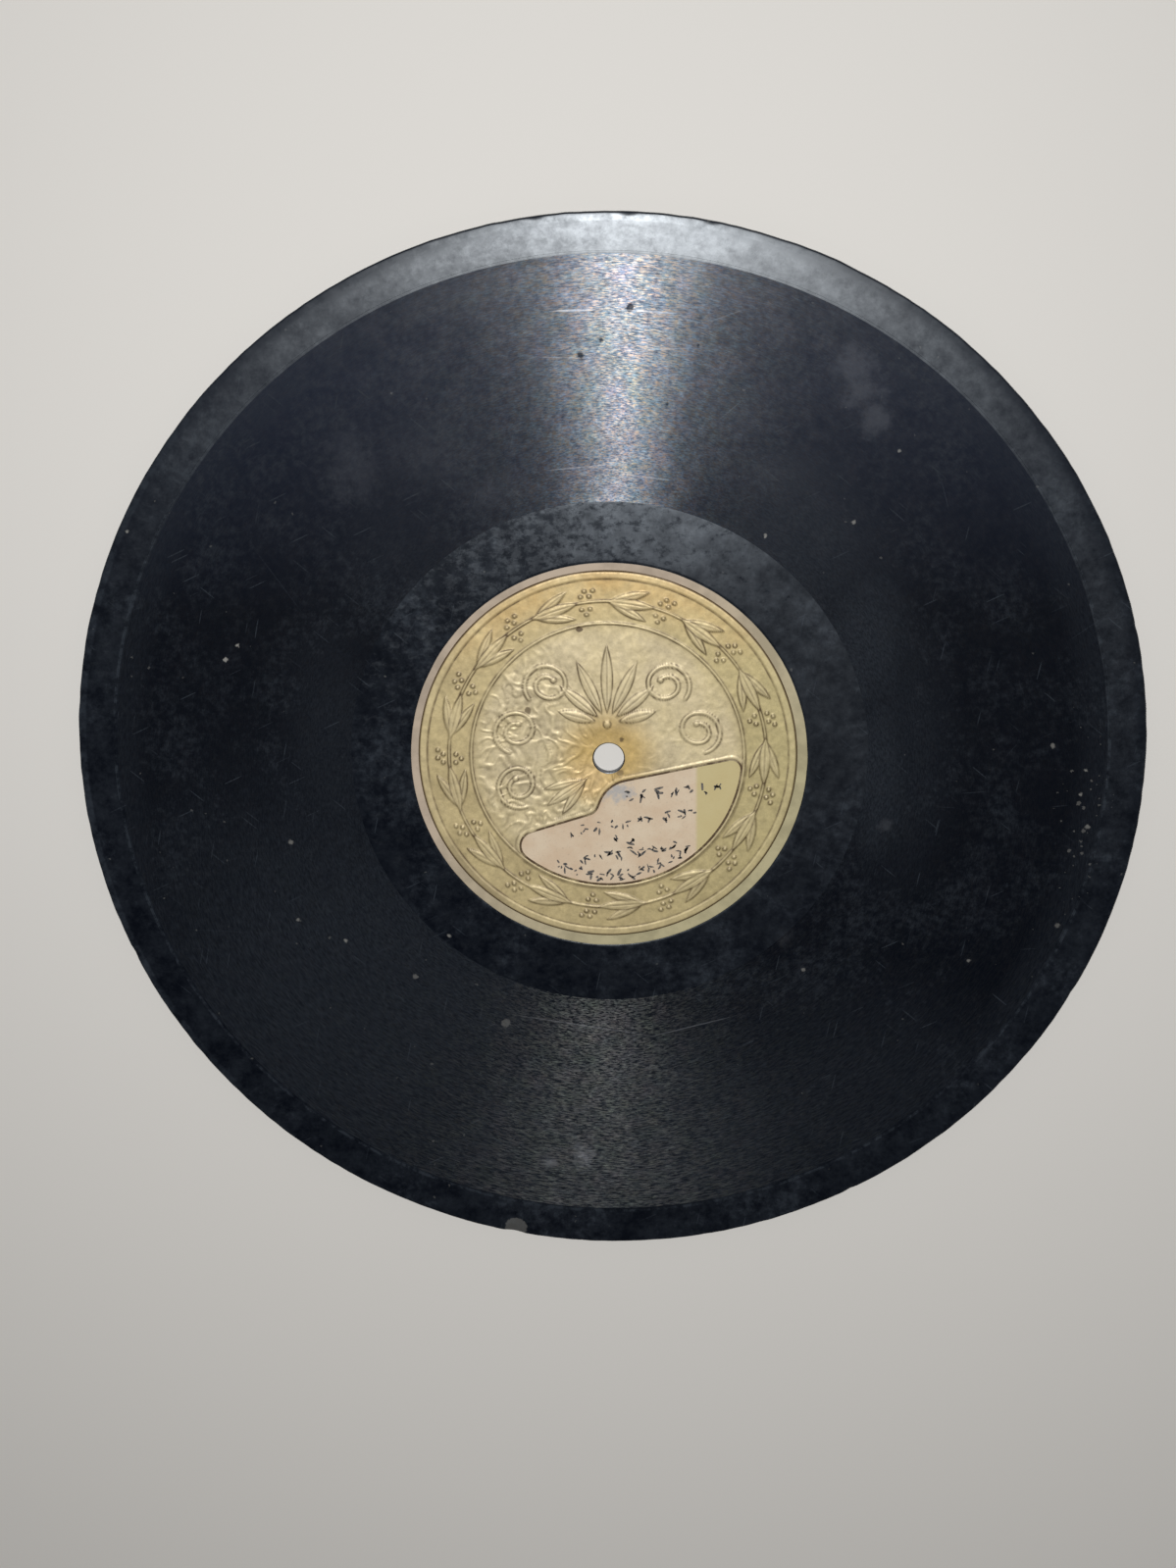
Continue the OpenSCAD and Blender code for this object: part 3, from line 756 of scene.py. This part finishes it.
sprigs = 13
first_tip = math.radians(17.2)
leaf_len, leaf_w = 11.4, 2.4
side_len, side_w, side_root = 9.6, 2.0, 0.8
leaf_spread = math.radians(21)
twig_w, twig_h, twig_lap = 0.6, 0.2, 0.03
berry_d, berry_step, berry_row, far_row = 0.9, 2.0, 1.5, 1.3
sprig_turn = math.tau / sprigs
leaf_turn = 2 * math.asin(leaf_len / (2 * stem_r))
for i in range(sprigs):
    node_at = math.pi / 2 - first_tip + leaf_turn - i * sprig_turn
    tip_turn = node_at - leaf_turn
    node_x, node_y = stem_r * math.cos(node_at), stem_r * math.sin(node_at)
    tip_x, tip_y = stem_r * math.cos(tip_turn), stem_r * math.sin(tip_turn)
    heading = node_at - math.pi / 2 - leaf_turn / 2
    # The twig runs on along the stem's circle to the next sprig
    past = (tip_turn - np.arctan2(y, x)) % math.tau
    on_twig = (past < sprig_turn - leaf_turn + twig_lap) | (past > math.tau - twig_lap)
    ridge(np.where(on_twig, r - stem_r, far_off), twig_w, twig_h)
    for side in (-1, 1):
        leaf(node_x + side_root * math.cos(heading), node_y + side_root * math.sin(heading),
             heading + side * leaf_spread, side_len, side_w)
    leaf(node_x, node_y, heading, leaf_len, leaf_w)
    twig_heading = tip_turn - math.pi / 2 - (sprig_turn - leaf_turn) / 2
    for side, count in ((1, 4), (-1, 3)):
        for k in range(count):
            s, t = berry_step * (k + 1) / 2, side * (berry_row + far_row * (k % 2))
            boss(tip_x + s * math.cos(twig_heading) - t * math.sin(twig_heading),
                 tip_y + s * math.sin(twig_heading) + t * math.cos(twig_heading), berry_d)

# The field: a fan of seven leaves over the spindle hole, volutes down both sides, and a spray
fan_root, fan_boss_d, fan_start = 8.0, 1.8, 3
fan_spread, fan_len, fan_taper, fan_w = 25, 16, 2.4, 2.6
boss(0, fan_root, fan_boss_d)
for k in range(-3, 4):
    lean = math.radians(90 + fan_spread * k)
    leaf(fan_start * math.cos(lean), fan_root + fan_start * math.sin(lean), lean,
         fan_len - fan_taper * abs(k), fan_w)
volute_r, volute_step, volute_reach = 5.0, 1.3, 22.5
volute_w, volute_h, volute_eye_d = 0.9, 0.22, 1.4
first_volute, volute_pace = 40, 35
for side, count in ((1, 2), (-1, 3)):
    for k in range(count):
        turn = math.radians(first_volute + volute_pace * k)
        here_x, here_y = side * volute_reach * math.sin(turn), volute_reach * math.cos(turn)
        u = side * (x - here_x) * math.cos(turn) - (y - here_y) * math.sin(turn)
        v = side * (x - here_x) * math.sin(turn) + (y - here_y) * math.cos(turn)
        for half in range(3):
            centre = -volute_step * (half % 2)
            on_half = v >= 0 if half % 2 == 0 else v < 0
            off_line = np.hypot(u - centre, v) - volute_r + half * volute_step
            ridge(np.where(on_half, off_line, far_off), volute_w, volute_h)
        boss_off = np.hypot(u + volute_r - 2 * volute_step, v)
        ridge(boss_off, volute_eye_d, 0.3)
spray_x, spray_y, spray_heading = -5, -5.5, math.radians(215)
for side in (-1, 1):
    lean = spray_heading + side * leaf_spread
    leaf(spray_x + side_root * math.cos(lean), spray_y + side_root * math.sin(lean), lean, side_len, side_w)
leaf(spray_x, spray_y, spray_heading, leaf_len, leaf_w)

# Bead round the field, raised border, swelling along the window, and dirt with painted shade along the
# window and at the border's foot
bead_w, bead_h, border_h, swell_h = 0.7, 0.16, 0.12, 0.16
ridge(r - field_r, bead_w, bead_h)
border = np.clip((r - band_r) / 0.25, 0, 1) * np.clip((foil_r - r) / 0.3, 0, 1)
relief = np.maximum(relief, border_h * border)
# A line of dirt and painted shade at the inner foot of the border
crease = np.maximum(crease, np.exp(-((r - band_r + 0.12) / 0.2) ** 2))
to_window = np.full(len(x), 99.0)
for (ax, ay), (bx, by) in zip(window, np.roll(window, -1, axis=0)):
    run_x, run_y = bx - ax, by - ay
    along = np.clip(((x - ax) * run_x + (y - ay) * run_y) / max(run_x ** 2 + run_y ** 2, 1e-9), 0, 1)
    to_window = np.minimum(to_window, np.hypot(x - ax - along * run_x, y - ay - along * run_y))
relief = np.maximum(relief, swell_h * np.exp(-((to_window - 0.8) / 0.35) ** 2))
# Dirt and painted shade along the window's edge and at the foot of its swelling
crease = np.maximum(crease, np.exp(-(to_window / 0.28) ** 4))
crease = np.maximum(crease, 0.6 * np.exp(-((to_window - 1.4) / 0.2) ** 2))

# The die pressed unevenly, in long swells and short ripples
draws = np.random.default_rng(7)
swell_l, swell_waves, swell_rise = 14, 12, 0.05
ripple_l, ripple_waves, ripple_rise = 2.2, 24, 0.012


def ripple(size, count):
    """Sum of waves in random directions, about one high, with crests that far apart."""
    total = np.zeros(len(x))
    for _ in range(count):
        turn, phase = draws.uniform(0, math.tau), draws.uniform(0, math.tau)
        length = size * draws.uniform(0.7, 1.5)
        total += np.sin((x * math.cos(turn) + y * math.sin(turn)) * math.tau / length + phase)
    return total / math.sqrt(count)


# The left of the field has a ground of winding veins and dimples, pressed nearly flat. The noise is seeded,
# because noise_vector would otherwise bend the veins by the clock.
bend_mm, vein_mm, dimple_mm = 6, 3, 1.3
vein_w, vein_h, dimple_h, ground_sink = 0.2, 0.17, 0.05, 0.03
noise.seed_set(3)
winding = []
for px, py in zip(x, y):
    bend = noise.noise_vector((px / bend_mm, py / bend_mm, 1.7))
    winding.append(noise.noise((px / vein_mm + bend.x, py / vein_mm + bend.y, 4.1)))
winding = np.abs(np.array(winding))
vein = np.sin(np.clip(1 - winding / vein_w, 0, 1) * math.pi / 2)
dimples = np.array([noise.noise((px / dimple_mm, py / dimple_mm, 5.2)) for px, py in zip(x, y)])
inside = np.clip((field_r - 0.8 - r) / 1.5, 0, 1)
left = np.clip((4 - x - 0.6 * y) / 14, 0, 1)
plain = 1 - np.clip(relief / 0.08, 0, 1)
ground = swell_rise * ripple(swell_l, swell_waves) + ripple_rise * ripple(ripple_l, ripple_waves)
ground += inside * plain * (0.15 + 0.85 * left) * (vein_h * vein + dimple_h * dimples - ground_sink)
# The sheet dips towards the spindle hole, and keeps its thickness at the rim
lift, dip, dip_r, dip_w = 0.1, 0.16, 9, 5
from_spindle = np.hypot(spots[:, 0], spots[:, 1])
ground = lift + np.maximum(ground, -lift) - dip * np.clip((dip_r - from_spindle) / dip_w, 0, 1) ** 2
on_top = spots[:, 2] > foil_foot + foil_t / 2
raised = np.maximum(relief + ground * np.clip((foil_r - r) / 0.6, 0, 1), -0.03)
spots[:, 2] += np.where(on_top, raised, 0)
mesh.vertices.foreach_set("co", (spots * mm).astype(np.float32).ravel())
# Dirt and painted shade at the feet of the veins
vein_foot = np.exp(-((winding - 0.25) / 0.08) ** 2)
vein_dirt_and_shade = inside * plain * (0.1 + 0.9 * left) * vein_foot * np.clip(0.6 - dimples, 0, 1)
crease = np.maximum(crease, 0.5 * vein_dirt_and_shade)
# The darkness of the creases, dirt and painted shade, is kept on the points
crease_dirt_and_shade = mesh.attributes.new("crease_dirt_and_shade", "FLOAT", "POINT")
crease_dirt_and_shade.data.foreach_set("value", np.clip(crease, 0, 1).astype(np.float32))
rubbed = mesh.attributes.new("rubbed", "FLOAT", "POINT")
rubbed.data.foreach_set("value", np.clip(relief / 0.25, 0, 1).astype(np.float32))
mesh.shade_smooth()
mesh.set_sharp_from_angle(angle=math.radians(60))
mesh.update()

# Gilt foil is bronze leaf on paper, gone dull and straw-coloured. Handling has left warmer metal round the
# hole and along the top, and brown dirt in every crease of the relief, which also carries painted shade.
# A painted highlight lies below and left of the hole.
straw_gilt = linear("#c0ae80")
thin_gilt = linear("#d2c29c")
warm_gilt = linear("#cbab70")
hole_gilt = linear("#c4a563")
# Painted highlight below and left of the hole
highlight_gilt = linear("#dec08a")
green_gilt = linear("#b6a978")
polished_gilt = linear("#dccca4")
# Brown of dirt, also used for painted shade in the creases
dirt_and_shade_brown = linear("#503c25")
mottle_mm, speck_mm, foil_stain_mm, dirt_mm = 9, 0.7, 1.6, 4
# Place, size and strength of the dark spots
dirt_spots = [(-6.4, 31.1, 0.7, 0.9), (-18.8, 11.4, 0.8, 0.75), (3.3, 4.2, 0.5, 0.8), (2.9, -4.0, 0.8, 0.6)]

material, shader, add = new_material("dulled gilt foil")
place, flat, parts, radius = whereabouts(add, die_x, die_y)
mottle = add("TexNoise", (place, 1 / mottle_mm, 5, 0.6))
speck = add("TexNoise", (place, 1 / speck_mm, 3, 0.6))
# Greener to the right, paler in the field, where the gilding is thin
greener = add("MapRange", (parts.outputs["X"], 5, 45, 0, 0.8))
thin = add("MapRange", (radius, field_r + 1, field_r - 3, 0, 1))
thin_patch = add("MapRange", (mottle, 0.35, 0.6, 0.55, 1))
thin = add("Math", (thin, thin_patch), operation="MULTIPLY")
# Warmer along the top of the ring, and deep yellow round the hole
high_up = add("MapRange", (parts.outputs["Y"], 18, 42, 0, 1))
outer = add("MapRange", (radius, 33, 41, 0, 1))
top_ring = add("Math", (high_up, outer), operation="MULTIPLY")
blotch = add("MapRange", (mottle, 0.35, 0.6, 0.35, 1))
top_ring = add("Math", (top_ring, blotch), operation="MULTIPLY")
round_hole = add("MapRange", (radius, 15, 5, 0, 0.9), interpolation_type="SMOOTHSTEP")
# Painted highlight below and left of the hole, where the sheet's dip round the hole faces the lamp
hole_highlight = add("VectorMath", (flat, (-4.5, -6, 0)), operation="DISTANCE")
hole_highlight = add("MapRange", (hole_highlight, 7, 1.5, 0, 0.85), interpolation_type="SMOOTHSTEP")
patina = add("MapRange", (mottle, 0.45, 0.75, 0, 0.25))
# A darker stain at the lower left of the ring
dull = add("VectorMath", (flat, (-33, -31, 0)), operation="DISTANCE")
dull = add("MapRange", (dull, 16, 4, 0, 1), interpolation_type="SMOOTHSTEP")
rim_of_foil = add("MapRange", (radius, 42.3, 43.8, 0, 0.5))
dull = add("Math", (dull, rim_of_foil), operation="MULTIPLY")
colour = layered(add, straw_gilt, [(greener, green_gilt), (thin, thin_gilt), (top_ring, warm_gilt),
                                   (round_hole, hole_gilt), (hole_highlight, highlight_gilt), (patina, dirt_and_shade_brown),
                                   (dull, dirt_and_shade_brown)])
# Fine stains all over
stain = add("TexNoise", (place, 1 / foil_stain_mm, 7, 0.75))
stain = add("MapRange", (stain, 0.3, 0.7, 0.77, 1.2))
colour = add("VectorMath", (colour, stain), operation="SCALE")
# Raised leaves rubbed pale; dirt and painted shade in the creases and at the foil's edge
rubbed = add("Attribute", attribute_name="rubbed")
rubbed = add("Math", (rubbed.outputs["Fac"], 0.35), operation="MULTIPLY")
crease_dirt_and_shade = add("Attribute", attribute_name="crease_dirt_and_shade")
edge = add("MapRange", (radius, foil_r - 0.55, foil_r - 0.25, 0, 0.95))
dirt_and_shade_mask = add("TexNoise", (place, 1 / dirt_mm, 5, 0.7))
dirt_and_shade_mask = add("MapRange", (dirt_and_shade_mask, 0.36, 0.6, 0.35, 1))
dirt_and_shade_mask = add("Math", (crease_dirt_and_shade.outputs["Fac"], dirt_and_shade_mask), operation="MULTIPLY")
dirt_and_shade_mask = add("Math", (dirt_and_shade_mask, edge), operation="MAXIMUM")
for spot_x, spot_y, half, strength in dirt_spots:
    off = add("VectorMath", (flat, (spot_x, spot_y, 0)), operation="DISTANCE")
    off = add("Math", (off, speck), operation="ADD")
    near = add("MapRange", (off, half + 0.7, half + 0.4, 0, strength))
    dirt_and_shade_mask = add("Math", (dirt_and_shade_mask, near), operation="MAXIMUM")
colour = layered(add, colour, [(rubbed, polished_gilt), (dirt_and_shade_mask, dirt_and_shade_brown)])
rough = add("MapRange", (speck, 0.3, 0.7, 0.42, 0.56))
bump = add("Bump", {"Strength": 0.35, "Distance": 0.04 * mm, "Height": speck})
plug(shader, {"Base Color": colour, "Metallic": 0.25, "Roughness": rough, "Normal": bump})
mesh.materials.append(material)
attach(gold_foil, "root")
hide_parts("gold_foil")

# The cut edge of the window stands up as a thin lip of the same foil, turned up by the cutting die. It is
# dark with the glue and dirt that have gathered there, and with painted shade along the cut edge.
lip_w = 0.45
lip_foot_w = 0.1
lip_lap = 0.03
lip_top = foil_top + 0.26
lip_dirt_and_shade = 1.3

tangents = np.roll(window, -1, axis=0) - np.roll(window, 1, axis=0)
outward = np.stack([tangents[:, 1], -tangents[:, 0]], 1) / np.maximum(np.hypot(*tangents.T), 1e-6)[:, None]
bm = bmesh.new()
loops = []
for out, z in ((-lip_lap, foil_foot), (-lip_lap, lip_top), (lip_w, lip_top), (lip_w + lip_foot_w, foil_top)):
    loops.append([bm.verts.new((px + die_x, py + die_y, z)) for px, py in window + out * outward])
for inner, outer in zip(loops, loops[1:] + loops[:1]):
    for k in range(len(window)):
        bm.faces.new((inner[k - 1], inner[k], outer[k], outer[k - 1]))
bmesh.ops.remove_doubles(bm, verts=bm.verts, dist=foil_weld)
bmesh.ops.recalc_face_normals(bm, faces=bm.faces)
bmesh.ops.scale(bm, verts=bm.verts, vec=(mm, mm, mm))
window_lip = to_object(bm, "window_lip")
mesh = window_lip.data
crease_dirt_and_shade = mesh.attributes.new("crease_dirt_and_shade", "FLOAT", "POINT")
crease_dirt_and_shade.data.foreach_set("value", np.full(len(mesh.vertices), lip_dirt_and_shade, np.float32))
mesh.materials.append(material)
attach(window_lip, "root")

# What is left of the printing in the title window: worn specks of ink in rows, too broken to read.
# Each mark is a few thin blots, pressed into the paper.
ink_colour = linear("#2f3338")
ink_t, ink_sunk = 0.01, 0.002
ink_fade_mm = 0.8
draws = random.Random(11)
# Start, end and level of each row, its slope, and the distance between marks, then an arc under the rows
rows = [(5, 28, -9.2, 0.08, 3.2), (-9.5, 20.5, -18.4, 0.17, 3.2), (2, 6.5, -20.6, 0.1, 2.6),
        (-6, 18, -25.2, 0.16, 2.9)]
arc_r, arc_from, arc_to, arc_pace = 29.4, -115, -46, 5
blot_sides = 8

marks = []
for start, end, level, slope, pace in rows:
    along = start
    while along < end:
        marks.append((along, level + slope * (along - start)))
        along += pace * draws.uniform(0.8, 1.3)
for degrees in range(arc_from, arc_to, arc_pace):
    turn = math.radians(degrees)
    marks.append((arc_r * math.cos(turn), arc_r * math.sin(turn)))
bm = bmesh.new()
for mark_x, mark_y in marks:
    for _ in range(draws.randint(3, 5)):
        made = bmesh.ops.create_circle(bm, cap_ends=True, segments=blot_sides,
                                       radius=draws.uniform(0.17, 0.33))
        stretch = draws.uniform(1.4, 4)
        for v in made["verts"]:
            v.co.x *= stretch
            v.co.xy *= draws.uniform(0.7, 1.25)
        bmesh.ops.rotate(bm, verts=made["verts"], matrix=Matrix.Rotation(draws.uniform(0, math.pi), 3, "Z"))
        aside_x, aside_y = draws.uniform(-0.8, 0.8), draws.uniform(-1.2, 1.2)
        bmesh.ops.translate(bm, verts=made["verts"],
                            vec=(mark_x + aside_x, mark_y + aside_y, paper_top - ink_sunk))
lifted = bmesh.ops.extrude_face_region(bm, geom=bm.faces[:])
lifted = [v for v in lifted["geom"] if isinstance(v, bmesh.types.BMVert)]
bmesh.ops.translate(bm, vec=(0, 0, ink_t), verts=lifted)
bmesh.ops.recalc_face_normals(bm, faces=bm.faces)
bmesh.ops.scale(bm, verts=bm.verts, vec=(mm, mm, mm))
title_ink = to_object(bm, "title_ink")

# Printing ink is lamp black in oil, matt and faded to the brown of the soiled paper.
material, shader, add = new_material("printing ink")
at = add("TexCoord")
fade = add("TexNoise", (at.outputs["Object"], 1 / (ink_fade_mm * mm), 3))
fade = add("MapRange", (fade, 0.35, 0.65, 0, 0.6))
colour = layered(add, ink_colour, [(fade, soil)])
plug(shader, {"Base Color": colour, "Roughness": 0.7})
title_ink.data.materials.append(material)
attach(title_ink, "root")
